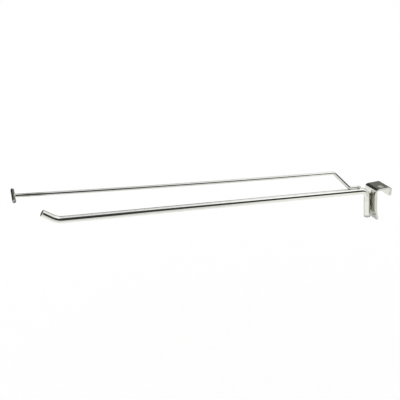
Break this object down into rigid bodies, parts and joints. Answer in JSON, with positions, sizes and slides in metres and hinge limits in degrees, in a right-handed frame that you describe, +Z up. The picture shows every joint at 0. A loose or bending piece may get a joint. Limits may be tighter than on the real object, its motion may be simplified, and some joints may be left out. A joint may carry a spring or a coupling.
{
  "type": "display hook",
  "caption": "Welded wire display hook with an upturned tip, a folded saddle that drops over a flat hang rail and a ticket arm above with a crossbar end.",
  "frame": {"origin": "middle of the saddle's seat, the downward face that rests on the rail's top edge", "axes": "+Z up, -Y forward towards the shopper along the prong, +Y towards the back of the rail, X across the hook"},
  "size_m": [0.03, 0.3398, 0.0835],
  "materials": {
    "prong": "bright chrome plate on drawn wire",
    "saddle": "bright chrome plate on cold rolled strip",
    "ticket": "bright chrome plate on drawn wire",
    "weld": "chrome plate over rough weld metal"
  },
  "bodies": {
    "root": {"prong_wire": "prong", "saddle_bracket": "saddle", "ticket_arm": "ticket", "ticket_crossbar": "ticket", "leg_weld_upper_right": "weld", "leg_weld_upper_left": "weld", "leg_weld_lower_right": "weld", "leg_weld_lower_left": "weld", "foot_weld": "weld"}
  },
  "joints": []
}
